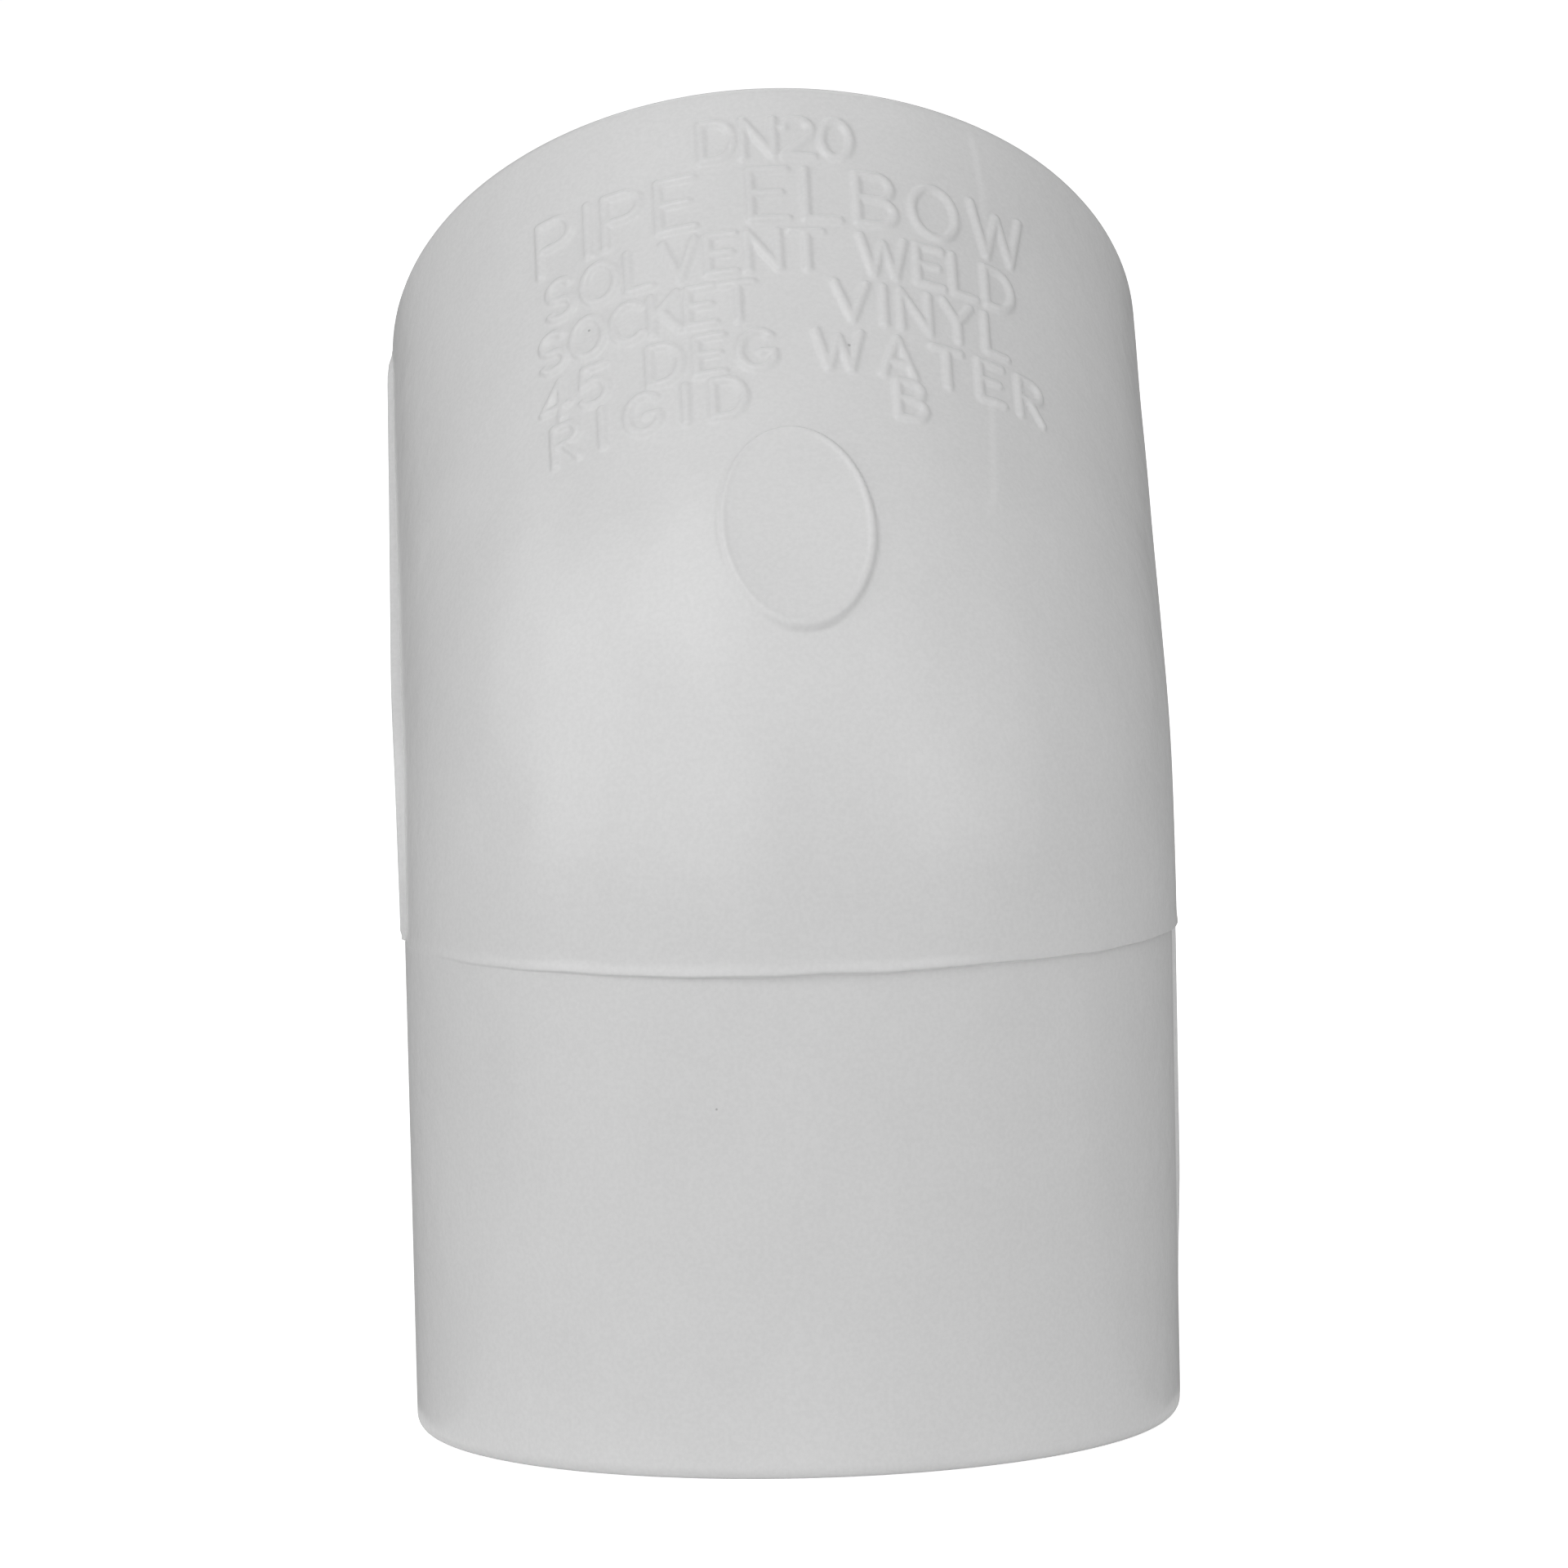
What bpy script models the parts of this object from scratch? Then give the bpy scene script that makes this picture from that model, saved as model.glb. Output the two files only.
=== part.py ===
"""45 degree socket elbow for nominal 3/4 in (DN 20) rigid PVC pressure pipe.

One injection moulding: two solvent-weld sockets joined by a bent waterway.
The elbow stands on the mouth face of its lower socket. The lower leg's axis
is vertical, the upper leg leans towards +Y at 45 degrees, and the bend lies in
the YZ plane, so the part is symmetric about X = 0.

Units are metres, +Z is up. The origin is the bottom centre of the part's
bounding box.
"""

import math

import bmesh
import bpy
from mathutils import Vector

MM = 0.001

# ---------------------------------------------------------------- dimensions
BEND_ANGLE = math.radians(45.0)      # angle between the two socket axes, turned

CENTRE_TO_FACE = 27.0 * MM           # axes' crossing point to either mouth face
SOCKET_DEPTH = 18.6 * MM             # mouth face to the pipe stop
SOCKET_MOUTH_R = 13.435 * MM         # socket entry, 26.87 mm across
SOCKET_BOTTOM_R = 13.285 * MM        # socket at the stop, 26.57 mm across
MOUTH_CHAMFER = 0.50 * MM            # lead-in at the socket mouth

WATERWAY_R = 10.45 * MM              # through bore, 20.9 mm across
STOP_EDGE_R = 0.40 * MM              # break on the stop's inner edge

HUB_R_FACE = 16.62 * MM              # outside of the lower hub beside its rim
HUB_R_RING = 16.64 * MM              # outside of the lower hub below the ring line
BODY_R_RING = 16.70 * MM             # body just above the ring line
BODY_R_FACE = 16.60 * MM             # outside of the upper hub beside its rim
RIM_ROUND_R = 0.70 * MM              # rounded outer edge of both mouths

BEND_AXIS_R = 13.28 * MM             # centreline radius of the bend
THROAT_FILLET_R = 1.50 * MM          # fillet where the hubs meet on the inside
BORE_THROAT_R = 0.80 * MM            # the same on the waterway's inner side

RING_STEP_H = 0.06 * MM              # height over which the ring line steps out

# ---------------------------------------------------------------- resolution
AROUND = 72                          # facets around the body
BEND_STEPS = 9                       # facets along the outside of the bend
BORE_BEND_STEPS = 6                  # facets along the waterway's bend
ROUND_STEPS = 4                      # facets on each rounded rim edge

NODE_NAME = "elbow_body"

HALF_TAN = math.tan(BEND_ANGLE / 2.0)
UPPER_AXIS = Vector((0.0, math.sin(BEND_ANGLE), math.cos(BEND_ANGLE)))
UPPER_OUT = Vector((0.0, -math.cos(BEND_ANGLE), math.sin(BEND_ANGLE)))
CROSSING = Vector((0.0, 0.0, CENTRE_TO_FACE))


def clear_scene():
    for obj in list(bpy.data.objects):
        bpy.data.objects.remove(obj, do_unlink=True)


def soft_max(a, b, width):
    """Larger of a and b, rounded over about width where they cross."""
    return 0.5 * (a + b + math.sqrt((a - b) ** 2 + width ** 2))


def bend_radius(offset, least):
    """Radius of the bend's profile at a distance offset outside the axis.

    Outside the bend the profile is concentric with the centreline. On the
    inside the legs would cross, so the profile becomes a small fillet.
    """
    return soft_max(BEND_AXIS_R + offset, least, 0.8 * MM)


def tangent_from_face(offset, least):
    """Distance from a mouth face to where the bend starts on this line."""
    return CENTRE_TO_FACE + (offset - bend_radius(offset, least)) * HALF_TAN


def on_lower(phi, radius, height):
    """Point of the lower leg. phi = 0 is the outside of the bend."""
    return Vector((radius * math.sin(phi), -radius * math.cos(phi), height))


def on_upper(phi, radius, from_face):
    """Point of the upper leg, measured down from the upper mouth face."""
    return (CROSSING + UPPER_AXIS * (CENTRE_TO_FACE - from_face)
            + Vector((radius * math.sin(phi), 0.0, 0.0))
            + UPPER_OUT * (radius * math.cos(phi)))


def on_bend(phi, radius, share, least):
    """Point of the bend, share 0 at the lower leg and 1 at the upper leg."""
    offset = radius * math.cos(phi)
    rho = bend_radius(offset, least)
    start = tangent_from_face(offset, least)
    beta = BEND_ANGLE * share
    return Vector((radius * math.sin(phi),
                   rho - offset - rho * math.cos(beta),
                   start + rho * math.sin(beta)))


def ring(place):
    """One closed ring of points, place(phi) giving each of them."""
    return [place(2.0 * math.pi * i / AROUND) for i in range(AROUND)]


def outer_rings():
    """Outside of the elbow, from the lower mouth face to the upper one."""
    rings = []

    def tangent(phi, radius):
        return tangent_from_face(radius * math.cos(phi), THROAT_FILLET_R)

    # rounded edge of the lower mouth
    for k in range(ROUND_STEPS + 1):
        a = 0.5 * math.pi * k / ROUND_STEPS
        r = HUB_R_FACE - RIM_ROUND_R * (1.0 - math.sin(a))
        z = RIM_ROUND_R * (1.0 - math.cos(a))
        rings.append(ring(lambda p, r=r, z=z: on_lower(p, r, z)))

    # lower hub, with the mould's draft
    for share in (1.0 / 3.0, 2.0 / 3.0):
        r = HUB_R_FACE + (HUB_R_RING - HUB_R_FACE) * share
        rings.append(ring(lambda p, r=r, s=share: on_lower(
            p, r, RIM_ROUND_R + (tangent(p, r) - RIM_ROUND_R) * s)))

    # ring line, where the body steps out over the hub
    rings.append(ring(lambda p: on_lower(
        p, HUB_R_RING, tangent(p, BODY_R_RING) - RING_STEP_H)))
    rings.append(ring(lambda p: on_lower(
        p, BODY_R_RING, tangent(p, BODY_R_RING))))

    # the bend
    for k in range(1, BEND_STEPS + 1):
        rings.append(ring(lambda p, s=k / BEND_STEPS: on_bend(
            p, BODY_R_RING, s, THROAT_FILLET_R)))

    # upper hub, with draft towards its mouth
    for share in (1.0 / 3.0, 2.0 / 3.0):
        r = BODY_R_RING + (BODY_R_FACE - BODY_R_RING) * share
        rings.append(ring(lambda p, r=r, s=share: on_upper(
            p, r, RIM_ROUND_R
            + (tangent(p, BODY_R_RING) - RIM_ROUND_R) * (1.0 - s))))

    # rounded edge of the upper mouth
    for k in range(ROUND_STEPS + 1):
        a = 0.5 * math.pi * k / ROUND_STEPS
        r = BODY_R_FACE - RIM_ROUND_R * (1.0 - math.cos(a))
        d = RIM_ROUND_R * (1.0 - math.sin(a))
        rings.append(ring(lambda p, r=r, d=d: on_upper(p, r, d)))
    return rings


def socket_profile():
    """Radius and distance from the mouth face, from the mouth to the stop."""
    shoulder = WATERWAY_R + STOP_EDGE_R
    return [
        (SOCKET_MOUTH_R + MOUTH_CHAMFER, 0.0),
        (SOCKET_MOUTH_R, MOUTH_CHAMFER),
        ((SOCKET_MOUTH_R + SOCKET_BOTTOM_R) / 2.0, SOCKET_DEPTH / 2.0),
        (SOCKET_BOTTOM_R, SOCKET_DEPTH),
        (shoulder, SOCKET_DEPTH),
        (WATERWAY_R, SOCKET_DEPTH + STOP_EDGE_R),
    ]


def inner_rings():
    """Inside of the elbow, from the upper mouth face back to the lower one."""
    rings = []
    for r, d in socket_profile():
        rings.append(ring(lambda p, r=r, d=d: on_upper(p, r, d)))
    for k in range(BORE_BEND_STEPS, -1, -1):
        rings.append(ring(lambda p, s=k / BORE_BEND_STEPS: on_bend(
            p, WATERWAY_R, s, BORE_THROAT_R)))
    for r, d in reversed(socket_profile()):
        rings.append(ring(lambda p, r=r, d=d: on_lower(p, r, d)))
    return rings


def build_mesh(name):
    """Closed skin through every ring, joined back to the first one."""
    rings = outer_rings() + inner_rings()
    low = min(p.y for r in rings for p in r)
    high = max(p.y for r in rings for p in r)
    centre = Vector((0.0, -(low + high) / 2.0, 0.0))

    bm = bmesh.new()
    grid = [[bm.verts.new(p + centre) for p in r] for r in rings]
    count = len(grid)
    for j in range(count):
        here, there = grid[j], grid[(j + 1) % count]
        for i in range(AROUND):
            n = (i + 1) % AROUND
            bm.faces.new((here[i], here[n], there[n], there[i]))
    bmesh.ops.recalc_face_normals(bm, faces=bm.faces)
    mesh = bpy.data.meshes.new(name)
    bm.to_mesh(mesh)
    bm.free()
    mesh.shade_smooth()
    mesh.set_sharp_from_angle(angle=math.radians(30.0))
    return mesh


def pvc_material():
    mat = bpy.data.materials.new("white_pvc")
    mat.use_nodes = True
    shader = mat.node_tree.nodes["Principled BSDF"]
    shader.inputs["Base Color"].default_value = (0.80, 0.80, 0.80, 1.0)
    shader.inputs["Roughness"].default_value = 0.42
    shader.inputs["Metallic"].default_value = 0.0
    return mat


def main():
    clear_scene()
    mesh = build_mesh(NODE_NAME)
    mesh.materials.append(pvc_material())
    body = bpy.data.objects.new(NODE_NAME, mesh)
    bpy.context.scene.collection.objects.link(body)
    bpy.context.view_layer.update()


main()
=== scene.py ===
"""Looks of the 45 degree pipe elbow: one moulding, one continuous skin.

The moulding is built here again at a finer grain than the CAD solid, to the
same dimensions, so that the marks of the mould can be real geometry: the ring
line with its lip, the parting line's ledges, the raised lettering, the gate's
flat and the insert's witness line. Lengths below are in millimetres until the
mesh is written, and the lower leg's axis is at x = y = 0 until then.
"""
import math

import bpy
import numpy as np
from mathutils import Matrix, Vector


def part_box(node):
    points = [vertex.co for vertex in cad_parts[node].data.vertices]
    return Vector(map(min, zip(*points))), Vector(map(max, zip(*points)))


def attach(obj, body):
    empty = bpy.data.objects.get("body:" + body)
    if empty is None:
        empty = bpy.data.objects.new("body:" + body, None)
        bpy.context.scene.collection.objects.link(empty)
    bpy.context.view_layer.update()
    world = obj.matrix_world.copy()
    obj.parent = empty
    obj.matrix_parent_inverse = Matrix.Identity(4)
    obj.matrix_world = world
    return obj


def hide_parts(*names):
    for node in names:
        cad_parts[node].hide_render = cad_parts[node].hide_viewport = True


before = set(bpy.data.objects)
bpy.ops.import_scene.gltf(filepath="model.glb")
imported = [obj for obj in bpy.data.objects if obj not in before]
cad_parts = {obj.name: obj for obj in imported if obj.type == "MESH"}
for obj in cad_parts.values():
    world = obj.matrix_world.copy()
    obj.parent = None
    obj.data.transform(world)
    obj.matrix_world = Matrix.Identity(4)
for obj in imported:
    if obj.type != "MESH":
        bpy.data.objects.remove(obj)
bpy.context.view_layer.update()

LOW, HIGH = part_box("elbow_body")

# ------------------------------------------------------------- dimensions
BEND = math.radians(45.0)
HALF_TAN = math.tan(BEND / 2.0)
CENTRE_TO_FACE = 27.0
BEND_AXIS_R = 13.28
THROAT_R = 1.5
BORE_THROAT_R = 0.8
R_REF = 16.66            # surface that the details are measured from
HUB_R_FACE = 16.62
HUB_R_RING = 16.64
BODY_R_RING = 16.70
BODY_R_FACE = 16.64
RIM_R_LOW = 0.66         # rounded edge of the lower mouth
RIM_R_UP = 0.69          # and of the upper one
SOCKET_DEPTH = 18.6
SOCKET_MOUTH_R = 13.435
SOCKET_BOTTOM_R = 13.285
WATERWAY_R = 10.45
CHAMFER = 0.50
STOP_EDGE_R = 0.40

# The lower leg's axis in the row frame: the box is centred on y = 0, and the
# lower leg's outside is its lowest y.
AXIS_Y = LOW.y * 1000.0 + BODY_R_RING


def smooth(x, a, b):
    t = np.clip((x - a) / (b - a), 0.0, 1.0)
    return t * t * (3.0 - 2.0 * t)


def bend_radius(s, least):
    a = BEND_AXIS_R + s
    return 0.5 * (a + least + np.sqrt((a - least) ** 2 + 0.64))


def tangent(s, least):
    return CENTRE_TO_FACE + (s - bend_radius(s, least)) * HALF_TAN


# ---------------------------------------------------------------- lettering
# A plain single-stroke alphabet: every letter is 1 high, and wide as given.
def arc(cx, cy, rx, ry, a0, a1, n=14):
    t = np.radians(np.linspace(a0, a1, n))
    return [(cx + rx * math.cos(v), cy + ry * math.sin(v)) for v in t]


def bowl(cy, rx, ry, x=0.30):
    return [(0, cy + ry), (x, cy + ry)] + arc(x, cy, rx, ry, 90, -90) + [(0, cy - ry)]


GLYPHS = {
    " ": (0.28, []),
    "A": (0.68, [[(0, 0), (0.34, 1), (0.68, 0)], [(0.12, 0.34), (0.56, 0.34)]]),
    "B": (0.59, [[(0, 0), (0, 1)], bowl(0.76, 0.24, 0.24), bowl(0.26, 0.29, 0.26)]),
    "C": (0.68, [arc(0.38, 0.5, 0.38, 0.5, 48, 312, 26)]),
    "D": (0.66, [[(0, 0), (0, 1)], bowl(0.5, 0.38, 0.5, 0.28)]),
    "E": (0.55, [[(0.55, 1), (0, 1), (0, 0), (0.55, 0)], [(0, 0.52), (0.46, 0.52)]]),
    "G": (0.72, [arc(0.38, 0.5, 0.38, 0.5, 48, 325, 26) + [(0.70, 0.44), (0.44, 0.44)]]),
    "I": (0.0, [[(0, 0), (0, 1)]]),
    "K": (0.58, [[(0, 0), (0, 1)], [(0.55, 1), (0, 0.40)], [(0.20, 0.60), (0.58, 0)]]),
    "L": (0.50, [[(0, 1), (0, 0), (0.50, 0)]]),
    "N": (0.62, [[(0, 0), (0, 1), (0.62, 0), (0.62, 1)]]),
    "O": (0.74, [arc(0.37, 0.5, 0.37, 0.5, 0, 360, 30)]),
    "P": (0.58, [[(0, 0), (0, 1)], bowl(0.74, 0.28, 0.26)]),
    "R": (0.60, [[(0, 0), (0, 1)], bowl(0.74, 0.28, 0.26), [(0.26, 0.48), (0.60, 0)]]),
    "S": (0.58, [arc(0.29, 0.745, 0.27, 0.255, 35, 270, 16) + arc(0.29, 0.25, 0.29, 0.24, 90, -150, 16)]),
    "T": (0.62, [[(0, 1), (0.62, 1)], [(0.31, 1), (0.31, 0)]]),
    "V": (0.66, [[(0, 1), (0.33, 0), (0.66, 1)]]),
    "W": (0.92, [[(0, 1), (0.23, 0), (0.46, 0.85), (0.69, 0), (0.92, 1)]]),
    "Y": (0.62, [[(0, 1), (0.31, 0.5), (0.62, 1)], [(0.31, 0.5), (0.31, 0)]]),
    "0": (0.60, [arc(0.30, 0.5, 0.30, 0.5, 0, 360, 28)]),
    "2": (0.60, [arc(0.30, 0.70, 0.29, 0.30, 165, -35, 16) + [(0, 0), (0.60, 0)]]),
    "4": (0.62, [[(0.46, 0), (0.46, 1), (0, 0.32), (0.62, 0.32)]]),
    "5": (0.58, [[(0.54, 1), (0.07, 1), (0.03, 0.56)] + arc(0.27, 0.32, 0.31, 0.32, 130, -145, 16)]),
}

# text, first and last stroke across (arc length from the middle), the
# distance of the letters' feet from the upper mouth face, and their height
LINES = [
    ("DN20", -3.10, 3.45, 4.40, 2.15),
    ("PIPE ELBOW", -10.95, 11.70, 8.05, 2.85),
    ("SOLVENT WELD", -10.60, 10.95, 10.95, 2.15),
    ("SOCKET", -11.05, -1.20, 13.75, 2.10),
    ("VINYL", 2.35, 10.40, 13.75, 2.10),
    ("45 DEG", -11.10, -0.40, 16.60, 2.10),
    ("WATER", 1.40, 12.20, 16.60, 2.10),
    ("RIGID", -10.60, -1.80, 19.10, 2.05),
    ("B", 4.85, 6.10, 18.95, 2.05),
]


def lay_out():
    """Every stroke as (polyline of (x, a)), a measured from the mouth face."""
    strokes = []
    for text, x0, x1, feet, high in LINES:
        wide = sum(GLYPHS[c][0] for c in text) * high
        gap = (x1 - x0 - wide) / max(len(text) - 1, 1)
        x = x0
        for c in text:
            w, paths = GLYPHS[c]
            for path in paths:
                strokes.append(np.array([(x + px * high, feet - py * high) for px, py in path]))
            x += w * high + gap
    return strokes


STROKES = lay_out()
STROKE_HALF = 0.32       # from the stroke's middle to its foot
LETTER_H = 0.138


def stroke_distance(x, a):
    """Distance of each point from the nearest stroke, at most 1 mm."""
    out = np.full(x.shape, 1.0)
    for line in STROKES:
        lo, hi = line.min(0) - 1.0, line.max(0) + 1.0
        near = np.nonzero((x > lo[0]) & (x < hi[0]) & (a > lo[1]) & (a < hi[1]))[0]
        if not len(near):
            continue
        px, pa = x[near], a[near]
        best = out[near]
        for (ax, ay), (bx, by) in zip(line[:-1], line[1:]):
            dx, dy = bx - ax, by - ay
            t = np.clip(((px - ax) * dx + (pa - ay) * dy) / (dx * dx + dy * dy + 1e-12), 0, 1)
            best = np.minimum(best, np.hypot(px - ax - t * dx, pa - ay - t * dy))
        out[near] = best
    return out


# ------------------------------------------------------- marks of the mould
GATE_PHI = math.radians(0.15)
GATE_Q = 2.849
GATE_HALF = (3.23, 4.98)      # half-axes across and along
GATE_SINK = 0.185
GATE_TILT = (0.0210, -0.004)


def ring_wave(phi):
    """The ring line isn't quite flat: its height above the tangent line."""
    return (-0.03 + 0.03 * np.exp(-(phi / 0.35) ** 2) + 0.045 * np.sin(2.0 * phi + 0.7) + 0.030 * np.sin(5.0 * phi - 0.4)
            + 0.018 * np.sin(11.0 * phi + 1.9) + 0.012 * np.sin(27.0 * phi + 0.4)
            + 0.022 * np.sin(17.0 * phi + 0.8) * np.exp(-((phi - 0.15) / 0.45) ** 2))


def side_shift(front, on_body, q, t, z, a):
    """How far along X the mould halves sit, front and back, body and hub."""
    body_front = 0.165 + 0.05 * smooth(t, 1.0, 9.0) + 0.03 * (q > 3.0) * (1 - smooth(a, 2.0, 7.0))
    body_back = -0.13 - 0.10 * smooth(q, 2.0, 3.0) + 0.21 * smooth(q, 3.0, 4.0)
    body_back = body_back * smooth(t, 0.10, 0.45)
    # the back half's corner at the upper rim is well rounded
    crown = np.sqrt(np.clip(1 - np.clip(1 - (a - 0.80) / 1.6, 0, 1) ** 2, 0, 1))
    body_back = body_front + (body_back - body_front) * np.where(q > 3.0, crown, 1.0)
    hub_back = 0.07 + 0.16 * smooth(z, 5.0, 11.0)
    return np.where(on_body, np.where(front, body_front, body_back),
                    np.where(front, 0.0, hub_back))


def leg_point(phi, radius, z):
    return np.stack([radius * np.sin(phi), -radius * np.cos(phi), z], -1)


def upper_point(phi, radius, d):
    k = (CENTRE_TO_FACE - d) / math.sqrt(2.0)
    c = radius * np.cos(phi) / math.sqrt(2.0)
    return np.stack([radius * np.sin(phi), k - c, CENTRE_TO_FACE + k + c], -1)


def bend_point(phi, radius, beta, least):
    s = radius * np.cos(phi)
    r = bend_radius(s, least)
    return np.stack([radius * np.sin(phi), r - s - r * np.cos(beta),
                     tangent(s, least) + r * np.sin(beta)], -1)


def outward(phi, beta):
    return np.stack([np.sin(phi), -np.cos(phi) * np.cos(beta), np.cos(phi) * np.sin(beta)], -1)


def gate_frame():
    phi, q = np.array([GATE_PHI]), np.array([GATE_Q])
    beta = BEND * (q - 2.0)
    n = outward(phi, beta)[0]
    c = bend_point(phi, R_REF, beta, THROAT_R)[0] + np.array([0.30, 0, 0])
    ex = np.array([1.0, 0.0, 0.0])
    ex = ex - n * (ex @ n)
    ex /= np.linalg.norm(ex)
    ey = np.cross(n, ex)
    tilted = n - GATE_TILT[0] * ex - GATE_TILT[1] * ey
    return c - GATE_SINK * n, ex, ey, tilted / np.linalg.norm(tilted)


GATE_C, GATE_X, GATE_Y, GATE_N = gate_frame()


def gate_edge(P):
    """Signed distance from the gate's outline, and the place around it."""
    d = P - GATE_C
    x, y = d @ GATE_X, d @ GATE_Y
    x = x + 0.028 * y
    a, b = GATE_HALF
    r = np.hypot(x / a, y / b)
    grad = np.hypot(x / a ** 2, y / b ** 2) / np.maximum(r, 1e-6)
    return (r - 1.0) / np.maximum(grad, 1e-6), x / a, y / b


def outer(phi, q):
    """Points of the outside, phi from the outside of the bend, q from 0 at the
    lower mouth face to 5 at the upper one, with every mark, and which of them
    need a fine mesh."""
    phi = np.asarray(phi, float)
    q = np.asarray(q, float)
    s = R_REF * np.cos(phi)
    rho = bend_radius(s, THROAT_R)
    zt = tangent(s, THROAT_R)
    wave = ring_wave(phi)
    zr = zt + wave
    rim = q <= 1.0
    leg = (q > 1.0) & (q <= 2.0)
    bent = (q > 2.0) & (q <= 3.0)
    upper = (q > 3.0) & (q <= 4.0)
    top = q > 4.0
    low = q <= 2.0

    # where the point is along the surface
    z = np.where(rim, RIM_R_LOW * (1 - np.cos(0.5 * math.pi * np.clip(q, 0, 1))),
                 RIM_R_LOW + (zr - RIM_R_LOW) * np.clip(q - 1, 0, 1))
    beta = np.where(low, 0.0, BEND * np.clip(q - 2, 0, 1) + wave / rho * np.clip(3 - q, 0, 1))
    a = np.where(top, RIM_R_UP * (1 - np.sin(0.5 * math.pi * np.clip(q - 4, 0, 1))),
                 np.where(upper, zt + (RIM_R_UP - zt) * np.clip(q - 3, 0, 1),
                          zt + rho * (BEND - beta)))
    t = np.where(low, z - zr, rho * beta - wave)
    t = np.where(q > 3.0, 30.0, t)

    # radius with the mould's draft, the ring line and the rounded rims
    hub = HUB_R_FACE + (HUB_R_RING - HUB_R_FACE) * np.clip((z - RIM_R_LOW) / 20.0, 0, 1)
    crisp = smooth(phi, -0.1, 0.9)
    reach = 0.09 + 0.08 * smooth(phi, -0.3, 0.0) - 0.08 * crisp
    hub = hub - 0.045 * smooth(phi, -1.0, -0.2) * (1 - 0.6 * crisp) * np.exp(-np.clip(-t - reach, 0, None) / 0.22)
    share = np.clip((zt - a) / (zt - RIM_R_UP), 0, 1)
    body = BODY_R_RING + (BODY_R_FACE - BODY_R_RING) * share
    lip = 0.115 - 0.075 * smooth(phi, 0.05, 0.7) - 0.03 * smooth(-phi, 0.9, 1.4)
    body = body + lip * np.exp(-(np.clip(t, 0, None) / 0.33) ** 2)
    over = smooth(t / reach, -1.0, 0.0)
    radius = hub + (body - hub) * over
    radius = np.where(rim, HUB_R_FACE - RIM_R_LOW * (1 - np.sin(0.5 * math.pi * np.clip(q, 0, 1))), radius)
    radius = np.where(top, BODY_R_FACE - RIM_R_UP * (1 - np.cos(0.5 * math.pi * np.clip(q - 4, 0, 1))), radius)

    # relief that isn't part of the turned shape
    x = R_REF * phi
    h = np.zeros(phi.shape)
    # very slight unevenness of a cooled moulding
    h += 0.008 * np.sin(2 * phi + 0.31 * a + 0.5) * np.sin(0.27 * a + 0.9)
    h += 0.004 * np.sin(5 * phi - 0.5 * a) + 0.0035 * np.sin(7 * phi + 0.83 * a + 2.1)
    h *= 1.0 - smooth(np.abs(np.where(low, z - 10.0, 0.0)), 8.5, 10.0)

    # raised letters, round across their strokes
    d = np.full(phi.shape, 1.0)
    zone = (q > 3.0) & (q < 4.0) & (np.abs(x) < 14.0)
    d[zone] = stroke_distance(x[zone], a[zone])
    lift = np.clip((d - 0.06) / (STROKE_HALF - 0.06), 0, 1)
    h += LETTER_H * 0.5 * (1 + np.cos(math.pi * lift))
    fine = d < STROKE_HALF + 0.06

    # edge of the mould's insert, right of the letters
    line = np.interp(a, [0.0, 1.1, 4.5, 16.5, 21.6, 22.3, 23.0],
                     [9.25, 9.36, 9.78, 9.40, 9.20, 9.05, 8.75])
    off = x - line
    ends = smooth(a, 0.6, 1.4) * (1 - smooth(a, 22.4, 23.4))
    mid = 1.0 - 0.85 * smooth(a, 5.5, 7.5) * (1 - smooth(a, 15.5, 17.0))
    rise = smooth(off, -0.26, 0.22) * np.exp(-np.clip(off, 0, None) / 2.2)
    on = (q > 2.5) & (x > 6.0) & (x < 20.0)
    h += np.where(on, 0.055 * ends * mid * rise, 0.0)
    fine |= on & (np.abs(off) < 0.32) & (ends > 0.02)

    # parting line: where the two halves of the mould met
    side = np.abs(phi) - 0.5 * math.pi
    off_side = side * R_REF
    front = side < 0.0
    shift_front = side_shift(np.ones(phi.shape, bool), ~low, q, t, z, a)
    shift_back = side_shift(np.zeros(phi.shape, bool), ~low, q, t, z, a)
    if low.any():
        up_f = side_shift(np.ones(phi.shape, bool), np.ones(phi.shape, bool), q, t, z, a)
        up_b = side_shift(np.zeros(phi.shape, bool), np.ones(phi.shape, bool), q, t, z, a)
        shift_front = np.where(low, up_f * over, shift_front)
        shift_back = np.where(low, shift_back * (1 - over) + up_b * over, shift_back)
    shift = np.where(front, shift_front, shift_back)
    # the corner of the half that stands proud is slightly round
    step = (shift_back - shift_front) * np.sign(np.sin(phi))
    proud = np.where(front, -step, step)
    h += 0.022 * np.exp(-(off_side / 0.10) ** 2) * np.exp(-(step / 0.06) ** 2)
    h -= 0.35 * np.clip(proud, 0, None) * np.exp(-(np.abs(off_side) / 0.055) ** 2)
    h -= 0.11 * smooth(-proud, 0.03, 0.12) * np.exp(-(np.abs(off_side) / 0.13) ** 2)

    # into space
    P = np.where(low[:, None], leg_point(phi, radius + h, z),
                 np.where(bent[:, None], 0.0, upper_point(phi, radius + h, a)))
    if bent.any():
        base = bend_point(phi[bent], R_REF, beta[bent], THROAT_R)
        P[bent] = base + outward(phi[bent], beta[bent]) * (radius + h - R_REF)[bent, None]
    P[:, 0] += shift

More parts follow.
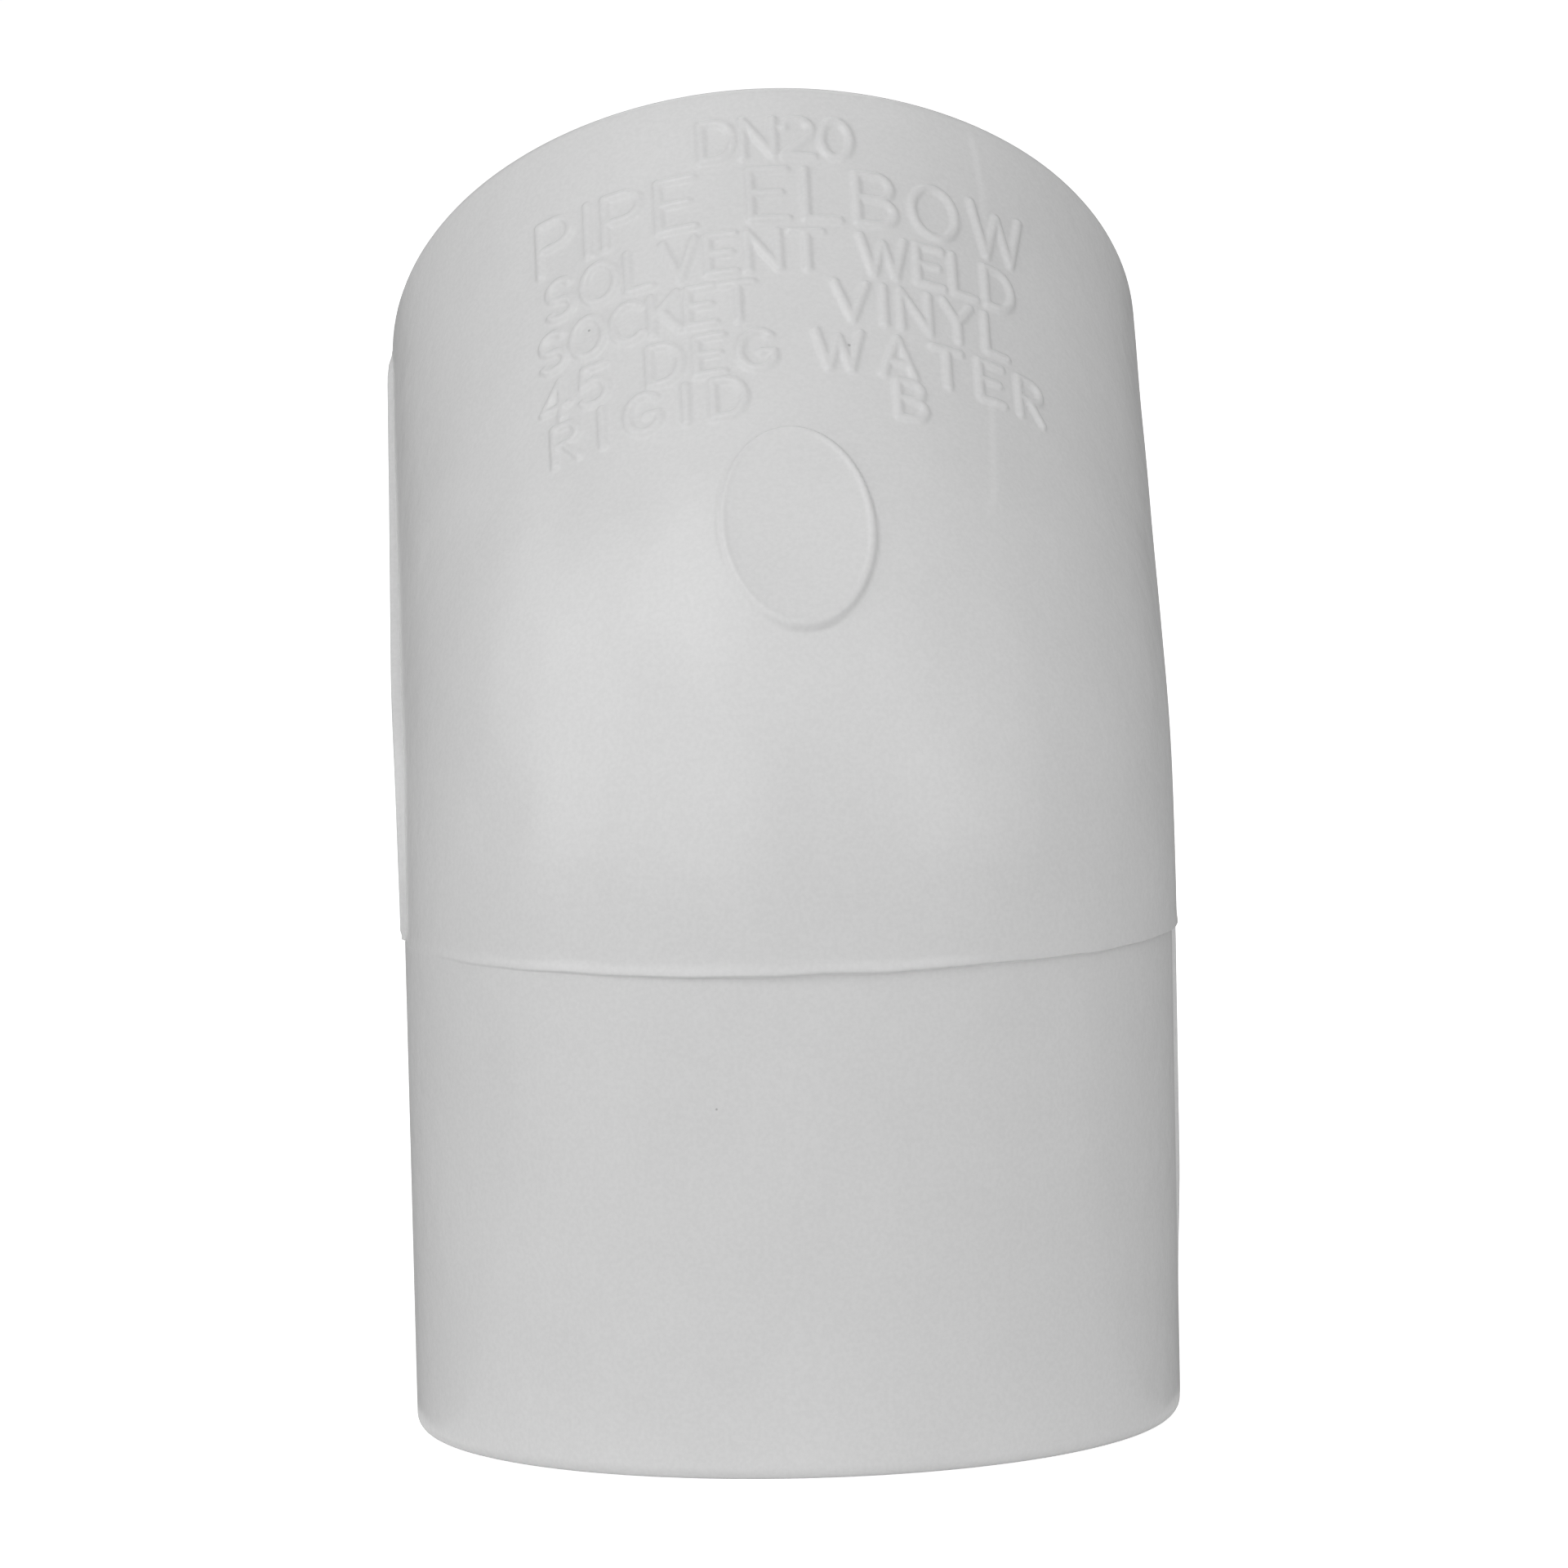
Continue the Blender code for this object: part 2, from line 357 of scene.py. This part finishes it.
    # the gate's flat, cut across the bulge of the bend
    near = (np.abs(phi) < 0.4) & (q > 2.3) & (q < 3.4)
    if near.any():
        idx = np.nonzero(near)[0]
        n = outward(phi[idx], np.clip(beta[idx], 0, BEND))
        e, gx, gy = gate_edge(P[idx])
        plane = -((P[idx] - GATE_C) @ GATE_N) / (n @ GATE_N)
        right = np.clip(gx, 0, 1) ** 2
        foot = np.clip(-gy, 0, 1) ** 2
        rimline = 0.048 * (1 - 0.5 * foot) * np.exp(-((e + 0.12) / 0.095) ** 2)
        crease = 0.035 * np.exp(-((e - 0.14) / 0.055) ** 2)
        width = 0.12 + 0.16 * right * smooth(-gy, -0.4, 0.2) + 0.26 * foot * (1 - right)
        outside = 1.0 - smooth(e, 0.0, width)
        inside = (e < 0)
        # beyond the outline the flat's height fades to the surface
        edge_h = np.where(inside, plane + rimline, np.clip(plane, 0.03, 0.30) * outside)
        blend = smooth(e, -0.03, 0.03)
        lift = np.where(np.abs(e) < 0.03, (plane + rimline) * (1 - blend) + np.clip(plane, 0.03, 0.30) * outside * blend, edge_h)
        lift = np.where(e < width + 0.01, lift, 0.0) - crease * (1 - foot)
        P[idx] += n * lift[:, None]
        fine[idx] |= (e > -0.45) & (e < width + 0.15)
    return P, fine


# ------------------------------------------------------------------- mesh
def columns():
    c = list(np.arange(-180.0, 180.0, 2.0))
    for at in (-90.0, 90.0):
        c = [v for v in c if abs(v - at) > 1.5]
        c += [at + o for o in (-1.1, -0.55, -0.28, -0.12, -0.02, 0.02, 0.12, 0.28, 0.55, 1.1)]
    return np.radians(np.sort(np.array(c)))


def outer_rows():
    span = CENTRE_TO_FACE - BEND_AXIS_R * HALF_TAN - RIM_R_LOW
    long = BEND * (BEND_AXIS_R + R_REF)
    leg = [1 + v / span for v in np.arange(0.0, span - 1.4, 0.85)]
    below = [2 - v / span for v in (1.25, 0.9, 0.65, 0.48, 0.36, 0.28, 0.22, 0.18, 0.15, 0.12, 0.09, 0.06, 0.03)]
    above = [2 + v / long for v in (0.0, 0.04, 0.09, 0.15, 0.22, 0.30, 0.42, 0.6, 0.85)]
    bent = list(2 + np.linspace(1.3 / long, 1.0, 38))
    up = list(3 + np.linspace(0.0, 1.0, 36)[1:])
    rim = list(np.linspace(0, 1, 9)[:-1])
    crown = list(4 + np.linspace(0, 1, 9)[1:])
    return np.array(rim + leg + below + above + bent + up + crown)


def socket_profile():
    """Radius and distance from the face, from the mouth to past the stop."""
    c = CHAMFER
    pts = [(SOCKET_MOUTH_R + c + 0.05, 0.0), (SOCKET_MOUTH_R + c - 0.03, 0.035), (SOCKET_MOUTH_R + 0.05, c - 0.04), (SOCKET_MOUTH_R, c + 0.06)]
    for k in (0.25, 0.5, 0.75):
        pts.append((SOCKET_MOUTH_R + (SOCKET_BOTTOM_R - SOCKET_MOUTH_R) * k, c + (SOCKET_DEPTH - c) * k))
    pts += [(SOCKET_BOTTOM_R, SOCKET_DEPTH - 0.15), (SOCKET_BOTTOM_R - 0.04, SOCKET_DEPTH - 0.04), (SOCKET_BOTTOM_R - 0.15, SOCKET_DEPTH)]
    edge = WATERWAY_R + STOP_EDGE_R
    pts.append((0.5 * (SOCKET_BOTTOM_R + edge), SOCKET_DEPTH))
    for k in range(5):
        v = 0.5 * math.pi * k / 4
        pts.append((edge - STOP_EDGE_R * math.sin(v), SOCKET_DEPTH + STOP_EDGE_R * (1 - math.cos(v))))
    return pts


def inner_rows(phi):
    rows = []
    ones = np.ones(phi.shape)
    for r, d in socket_profile():
        rows.append(upper_point(phi, r * ones, d * ones))
    for k in range(12, -1, -1):
        rows.append(bend_point(phi, WATERWAY_R * ones, BEND * k / 12 * ones, BORE_THROAT_R))
    for r, d in reversed(socket_profile()):
        rows.append(leg_point(phi, r * ones, d * ones))
    return rows


FINE = 7


def build_mesh(name):
    cols, rows = columns(), outer_rows()
    nc, nr = len(cols), len(rows)
    width = np.diff(np.append(cols, cols[0] + 2 * math.pi))

    # which cells hold a detail: looked at on a grid inside each cell
    sub = (np.arange(5) + 0.0) / 4.0
    cell_i, cell_j = np.meshgrid(np.arange(nc), np.arange(nr - 1), indexing="ij")
    keep = (np.abs(cols[cell_i] + 0.5 * width[cell_i]) < math.radians(52)) & (rows[cell_j] > 2.2) & (rows[cell_j] < 4.0)
    ci, cj = cell_i[keep], cell_j[keep]
    pp = cols[ci][:, None, None] + width[ci][:, None, None] * sub[None, :, None] + 0 * sub[None, None, :]
    qq = rows[cj][:, None, None] + (rows[cj + 1] - rows[cj])[:, None, None] * sub[None, None, :] + 0 * sub[None, :, None]
    _, mark = outer(pp.ravel(), qq.ravel())
    mark = mark.reshape(len(ci), -1).any(1)
    is_fine = np.zeros((nc, nr - 1), bool)
    is_fine[ci[mark], cj[mark]] = True

    # vertices are numbered by their place on the fine grid
    key_of, keys = {}, []

    def vert(i, j):
        k = (i % (nc * FINE), j)
        n = key_of.get(k)
        if n is None:
            n = key_of[k] = len(keys)
            keys.append(k)
        return n

    faces, centres = [], []
    for j in range(nr - 1):
        for i in range(nc):
            I, J = i * FINE, j * FINE
            if is_fine[i, j]:
                for a in range(FINE):
                    for b in range(FINE):
                        faces.append((vert(I + a, J + b), vert(I + a + 1, J + b),
                                      vert(I + a + 1, J + b + 1), vert(I + a, J + b + 1)))
                continue
            below = j > 0 and is_fine[i, j - 1]
            above = j < nr - 2 and is_fine[i, j + 1]
            left = is_fine[(i - 1) % nc, j]
            right = is_fine[(i + 1) % nc, j]
            loop = []
            loop += [vert(I + a, J) for a in (range(FINE) if below else (0,))]
            loop += [vert(I + FINE, J + b) for b in (range(FINE) if right else (0,))]
            loop += [vert(I + FINE - a, J + FINE) for a in (range(FINE) if above else (0,))]
            loop += [vert(I, J + FINE - b) for b in (range(FINE) if left else (0,))]
            if len(loop) == 4:
                faces.append(tuple(loop))
            else:
                centres.append((i, j, loop))
    keys_arr = np.array(keys)
    gi, gj = keys_arr[:, 0], keys_arr[:, 1]
    phi = cols[gi // FINE] + width[gi // FINE] * (gi % FINE) / FINE
    rj = np.minimum(gj // FINE, nr - 2)
    q = rows[rj] + (rows[rj + 1] - rows[rj]) * (gj - rj * FINE) / FINE
    cphi = np.array([cols[i] + 0.5 * width[i] for i, j, _ in centres])
    cq = np.array([0.5 * (rows[j] + rows[j + 1]) for i, j, _ in centres])
    P, _ = outer(np.concatenate([phi, cphi]), np.concatenate([q, cq]))
    n0 = len(keys)
    for k, (i, j, loop) in enumerate(centres):
        for a, b in zip(loop, loop[1:] + loop[:1]):
            faces.append((a, b, n0 + k))

    # inside, from the upper mouth back to the lower one
    inner = inner_rows(cols)
    base = len(P)
    P = np.concatenate([P] + inner)
    ids = [[vert(i * FINE, (nr - 1) * FINE) for i in range(nc)]]
    ids += [[base + r * nc + i for i in range(nc)] for r in range(len(inner))]
    ids += [[vert(i * FINE, 0) for i in range(nc)]]
    for here, there in zip(ids[:-1], ids[1:]):
        for i in range(nc):
            n = (i + 1) % nc
            faces.append((here[i], here[n], there[n], there[i]))

    P[:, 1] += AXIS_Y
    mesh = bpy.data.meshes.new(name)
    mesh.from_pydata((P * 0.001).tolist(), [], faces)
    mesh.validate()
    mesh.shade_smooth()
    mesh.update()
    return mesh


# --------------------------------------------------------------- material
def link(tree, a, b):
    tree.links.new(a, b)


def pvc_material():
    """Satin white PVC: a fine mould grain, a little flow mottling and three
    specks of dark dust moulded in, as such parts have."""
    mat = bpy.data.materials.new("white_pvc_moulded")
    mat.use_nodes = True
    tree = mat.node_tree
    shader = tree.nodes["Principled BSDF"]
    coord = tree.nodes.new("ShaderNodeTexCoord")
    place = coord.outputs["Object"]

    def noise(scale, detail, rough=0.5):
        n = tree.nodes.new("ShaderNodeTexNoise")
        n.inputs["Scale"].default_value = scale
        n.inputs["Detail"].default_value = detail
        n.inputs["Roughness"].default_value = rough
        link(tree, place, n.inputs["Vector"])
        return n.outputs["Fac"]

    def ramp(fac, lo, hi, a, b):
        n = tree.nodes.new("ShaderNodeMapRange")
        n.inputs["From Min"].default_value = lo
        n.inputs["From Max"].default_value = hi
        n.inputs["To Min"].default_value = a
        n.inputs["To Max"].default_value = b
        link(tree, fac, n.inputs["Value"])
        return n.outputs["Result"]

    def maths(op, a, b):
        n = tree.nodes.new("ShaderNodeMath")
        n.operation = op
        for k, v in enumerate((a, b)):
            if isinstance(v, (int, float)):
                n.inputs[k].default_value = v
            else:
                link(tree, v, n.inputs[k])
        return n.outputs[0]

    # colour: white with soft flow mottling and a finer, fainter speckle
    flow = ramp(noise(140.0, 3.0, 0.55), 0.3, 0.7, 0.787, 0.815)
    fleck = ramp(noise(5500.0, 2.0), 0.35, 0.65, -0.015, 0.015)
    value = maths("ADD", flow, fleck)
    specks = None
    for (x, y, z), r in SPECKS:
        d = tree.nodes.new("ShaderNodeVectorMath")
        d.operation = "DISTANCE"
        link(tree, place, d.inputs[0])
        d.inputs[1].default_value = (x, y, z)
        dark = ramp(d.outputs["Value"], r * 0.5, r * 1.25, 0.62, 1.0)
        dark.node.clamp = True
        specks = dark if specks is None else maths("MULTIPLY", specks, dark)
    value = maths("MULTIPLY", value, specks)
    colour = tree.nodes.new("ShaderNodeCombineColor")
    for k in range(3):
        link(tree, value, colour.inputs[k])
    link(tree, colour.outputs[0], shader.inputs["Base Color"])

    # sheen that varies a little, as the tool's polish does
    rough = ramp(noise(420.0, 4.0, 0.6), 0.3, 0.7, 0.21, 0.27)
    link(tree, rough, shader.inputs["Roughness"])
    shader.inputs["IOR"].default_value = 1.52
    shader.inputs["Subsurface Weight"].default_value = 0.0

    # grain: fine texture of the steel, and a soft larger ripple
    grain = tree.nodes.new("ShaderNodeBump")
    grain.inputs["Strength"].default_value = 0.35
    grain.inputs["Distance"].default_value = 0.000012
    link(tree, noise(5200.0, 3.0, 0.6), grain.inputs["Height"])
    ripple = tree.nodes.new("ShaderNodeBump")
    ripple.inputs["Strength"].default_value = 0.5
    ripple.inputs["Distance"].default_value = 0.00006
    link(tree, noise(900.0, 3.0, 0.5), ripple.inputs["Height"])
    link(tree, grain.outputs["Normal"], ripple.inputs["Normal"])
    link(tree, ripple.outputs["Normal"], shader.inputs["Normal"])
    return mat


def on_surface(phi_deg, q, out=0.0):
    P, _ = outer(np.array([math.radians(phi_deg)]), np.array([q]))
    return tuple(float(v) * 0.001 for v in P[0] + np.array([0.0, AXIS_Y, 0.0]))


SPECKS = [
    (on_surface(-29.6, 3.441), 0.00007),
    (on_surface(9.7, 3.301), 0.00008),
    (on_surface(-13.4, 1.729), 0.00005),
]


def plain_material(name, albedo, glow):
    """Matt white that also glows a little, for the floor and the backdrop."""
    mat = bpy.data.materials.new(name)
    mat.use_nodes = True
    shader = mat.node_tree.nodes["Principled BSDF"]
    shader.inputs["Base Color"].default_value = (albedo, albedo, albedo, 1.0)
    shader.inputs["Roughness"].default_value = 1.0
    shader.inputs["Specular IOR Level"].default_value = 0.0
    shader.inputs["Emission Color"].default_value = (1.0, 1.0, 1.0, 1.0)
    shader.inputs["Emission Strength"].default_value = glow
    return mat


# ------------------------------------------------------------------ studio
FLOOR_GLOW = 0.72
DOME_GLOW = 1.0
CARD_GLOW = 0.095
BACK_ALBEDO = 0.43
WORLD = 0.244
# name, azimuth (0 is in front, negative to the camera's left), elevation,
# distance in metres, width and height in metres, and irradiance at the object
LIGHTS = [
    ("softbox_left_low", -50.0, 22.0, 1.60, 2.20, 0.80, 0.448),
    ("softbox_right", 44.0, 33.0, 1.60, 2.40, 1.50, 0.427),
    ("softbox_right_low", 44.0, 24.0, 1.60, 2.20, 0.90, 0.289),
    ("softbox_overhead", 0.0, 75.0, 1.60, 2.40, 1.60, 0.275),
    ("panel_l045_55", -45.0, 55.0, 1.60, 0.80, 0.80, 0.265),
    ("softbox_left", -50.0, 33.0, 1.60, 2.40, 1.50, 0.216),
    ("softbox_top", 0.0, 60.0, 1.60, 2.00, 1.20, 0.211),
    ("panel_l075_40", -75.0, 40.0, 1.60, 0.70, 0.70, 0.137),
    ("panel_l100_25", -100.0, 25.0, 1.60, 0.70, 0.70, 0.135),
    ("panel_l075_15", -75.0, 15.0, 1.60, 0.60, 0.60, 0.089),
    ("panel_r045_20", 45.0, 20.0, 1.60, 0.60, 0.60, 0.087),
    ("softbox_left_top", -50.0, 45.0, 1.60, 2.40, 0.90, 0.079),
    ("panel_r030_38", 30.0, 38.0, 1.60, 0.80, 0.80, 0.037),
    ("panel_l030_25", -30.0, 25.0, 1.60, 0.60, 0.60, 0.010),
    ("strip_back", 180.0, 12.0, 1.60, 2.40, 0.50, 0.009),
    ("panel_back", 180.0, 45.0, 1.60, 1.00, 1.00, 0.255),
]
TARGET = Vector((0.0, AXIS_Y * 0.001 + 0.004, 0.028))


def add_light(name, az, el, dist, wide, high, strength):
    a, e = math.radians(az), math.radians(el)
    way = Vector((math.sin(a) * math.cos(e), -math.cos(a) * math.cos(e), math.sin(e)))
    data = bpy.data.lights.new(name, "AREA")
    data.shape = "RECTANGLE"
    data.size, data.size_y = wide, high
    # an area light sends power / (pi area) in radiance, so this much power
    # gives the stated irradiance at the object
    data.energy = strength * math.pi * dist ** 2
    obj = bpy.data.objects.new(name, data)
    obj.location = TARGET + way * dist
    obj.rotation_euler = way.to_track_quat("Z", "Y").to_euler()
    bpy.context.scene.collection.objects.link(obj)
    return obj


def add_camera():
    az, el, roll = -0.041743, 0.106764, -0.022112
    back = Vector((math.sin(az) * math.cos(el), -math.cos(az) * math.cos(el), math.sin(el)))
    centre = Vector((-0.045133, AXIS_Y, 27.754133)) * 0.001 + back * 0.480627
    right = (-back).cross(Vector((0, 0, 1))).normalized()
    up = right.cross(-back)
    r = right * math.cos(roll) + up * math.sin(roll)
    u = up * math.cos(roll) - right * math.sin(roll)
    data = bpy.data.cameras.new("camera")
    data.sensor_width = 36.0
    data.sensor_fit = "HORIZONTAL"
    data.lens = 13575.028 * 36.0 / 1920.0
    data.clip_start, data.clip_end = 0.01, 100.0
    cam = bpy.data.objects.new("camera", data)
    m = Matrix.Identity(4)
    for k in range(3):
        m[k][0], m[k][1], m[k][2], m[k][3] = r[k], u[k], back[k], centre[k]
    cam.matrix_world = m
    bpy.context.scene.collection.objects.link(cam)
    bpy.context.scene.camera = cam


def add_stage():
    """A pale floor and a pale dome round it. The seen floor and the dome glow,
    as a lit sweep does, and don't light the part; the floor just under it does
    the bouncing, mostly in front, and a small glowing card there keeps the foot
    from going dark."""
    mid = AXIS_Y * 0.001
    for name, z, x, y0, y1, albedo, glow in (
            ("studio_floor", 0.0, 12.0, -12.0, 12.0, 0.86, FLOOR_GLOW),
            ("studio_bounce", -0.0004, 12.0, -12.0, mid, 0.86, 0.0),
            ("studio_bounce_back", -0.0004, 12.0, mid, 12.0, BACK_ALBEDO, 0.0),
            ("studio_card", -0.0002, 0.019, mid, mid, 0.86, CARD_GLOW)):
        mesh = bpy.data.meshes.new(name)
        corners = [(-x, y0, z), (x, y0, z), (x, y1, z), (-x, y1, z)]
        if y0 == y1:
            corners = [(x * math.cos(math.pi * k / 24), y0 + x * math.sin(math.pi * k / 24), z) for k in range(48)]
        mesh.from_pydata(corners, [], [tuple(range(len(corners)))])
        mesh.materials.append(plain_material(name, albedo, glow))
        obj = bpy.data.objects.new(name, mesh)
        bpy.context.scene.collection.objects.link(obj)
        seen = name == "studio_floor"
        obj.visible_camera = seen
        obj.visible_shadow = False
        obj.visible_diffuse = obj.visible_glossy = not seen
    bpy.ops.mesh.primitive_uv_sphere_add(segments=64, ring_count=32, radius=3.2)
    dome = bpy.context.object
    dome.name = dome.data.name = "studio_dome"
    dome.data.materials.append(plain_material("studio_dome", 0.0, DOME_GLOW))
    dome.visible_diffuse = dome.visible_glossy = dome.visible_shadow = False


def add_world():
    world = bpy.data.worlds.new("studio")
    world.use_nodes = True
    tree = world.node_tree
    back = tree.nodes["Background"]
    back.inputs["Color"].default_value = (1.0, 1.0, 1.0, 1.0)
    back.inputs["Strength"].default_value = WORLD
    bpy.context.scene.world = world


def main():
    mesh = build_mesh("elbow_moulding")
    mesh.materials.append(pvc_material())
    body = bpy.data.objects.new("elbow_moulding", mesh)
    bpy.context.scene.collection.objects.link(body)
    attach(body, "root")
    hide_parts("elbow_body")
    add_stage()
    add_world()
    for spec in LIGHTS:
        add_light(*spec)
    add_camera()
    view = bpy.context.scene.view_settings
    view.view_transform = "Standard"
    view.look = "None"
    view.exposure = 0.0
    view.gamma = 1.0


main()

bpy.context.view_layer.update()
